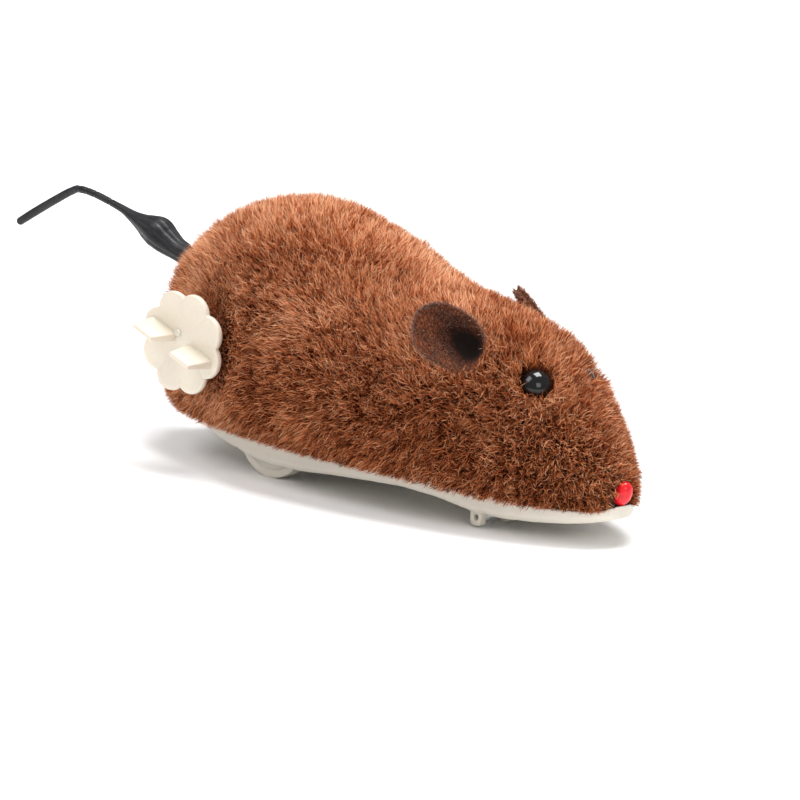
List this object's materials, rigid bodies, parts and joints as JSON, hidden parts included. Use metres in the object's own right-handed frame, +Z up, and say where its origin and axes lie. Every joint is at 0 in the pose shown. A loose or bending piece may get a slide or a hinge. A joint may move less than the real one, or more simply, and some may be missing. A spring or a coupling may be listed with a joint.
{
  "type": "clockwork mouse",
  "caption": "Wind-up plush mouse: a plastic base on driven wheels with a spring motor, a flower-shaped winding knob, felt ears and a flexible tail.",
  "frame": {"origin": "on the flat pad in the middle of the base's underside, straight below the middle of the rear axle", "axes": "+X forwards to the nose, +Y to the mouse's left, +Z up; the wheels reach 5 mm below the origin"},
  "size_m": [0.188, 0.0695, 0.0599],
  "materials": {
    "base_plastic": "moulded cream plastic, satin",
    "knob_plastic": "moulded warm white plastic, satin",
    "shell_plastic": "moulded white plastic",
    "gear_plastic": "white acetal",
    "plush": "long reddish brown pile",
    "felt": "dark brown short-pile felt",
    "eye_black": "polished black",
    "nose_red": "polished red",
    "tail_black": "satin black flexible plastic",
    "brass": "stamped brass",
    "steel": "zinc-plated steel",
    "spring_steel": "blued spring strip"
  },
  "bodies": {
    "body": {"base_chassis": "base_plastic", "body_shell": "shell_plastic", "plush_cover": "plush", "left_ear": "felt", "right_ear": "felt", "left_eye": "eye_black", "right_eye": "eye_black", "nose": "nose_red", "mainspring": "spring_steel", "motor_plate_right": "steel", "motor_plate_left": "steel", "motor_pillar_rear": "steel", "motor_pillar_top": "steel", "motor_pillar_lower": "steel", "front_pin": "steel", "shell_screw_rear_right": "steel", "shell_screw_rear_left": "steel", "shell_screw_front": "steel", "motor_screw_right": "steel", "motor_screw_left": "steel"},
    "driven_axle": {"rear_axle": "steel", "axle_pinion": "gear_plastic", "right_wheel": "base_plastic", "left_wheel": "base_plastic"},
    "second_arbor": {"second_gear": "gear_plastic", "second_shaft": "steel"},
    "winder": {"winding_knob": "knob_plastic", "winding_arbor": "steel", "main_gear": "brass"},
    "roller": {"front_roller": "base_plastic"},
    "tail_piece": {"tail": "tail_black"}
  },
  "joints": [
    {"name": "axle_turn", "type": "hinge", "parent": "body", "child": "driven_axle", "pos_m": [0, 0, 0.0045], "axis": [0, 1, 0], "range_deg": [-21600, 0]},
    {"name": "second_arbor_turn", "type": "hinge", "parent": "body", "child": "second_arbor", "pos_m": [-0.00554, 0, 0.01514], "axis": [0, 1, 0], "range_deg": [0, 7200]},
    {"name": "winding_turn", "type": "hinge", "parent": "body", "child": "winder", "pos_m": [-0.018, 0, 0.0235], "axis": [0, 1, 0], "range_deg": [-1800, 0], "deforming": ["mainspring"]},
    {"name": "roller_spin", "type": "hinge", "parent": "body", "child": "roller", "pos_m": [0.058, 0, -0.0026], "axis": [0, 1, 0], "continuous": true},
    {"name": "tail_swivel", "type": "hinge", "parent": "body", "child": "tail_piece", "pos_m": [-0.036, 0, 0.0324], "axis": [-0.975, 0, 0.222], "range_deg": [-180, 180]}
  ],
  "couplings": [
    {"joint": "second_arbor_turn", "follows": "axle_turn", "ratio": -0.33333},
    {"joint": "winding_turn", "follows": "axle_turn", "ratio": 0.083333}
  ]
}
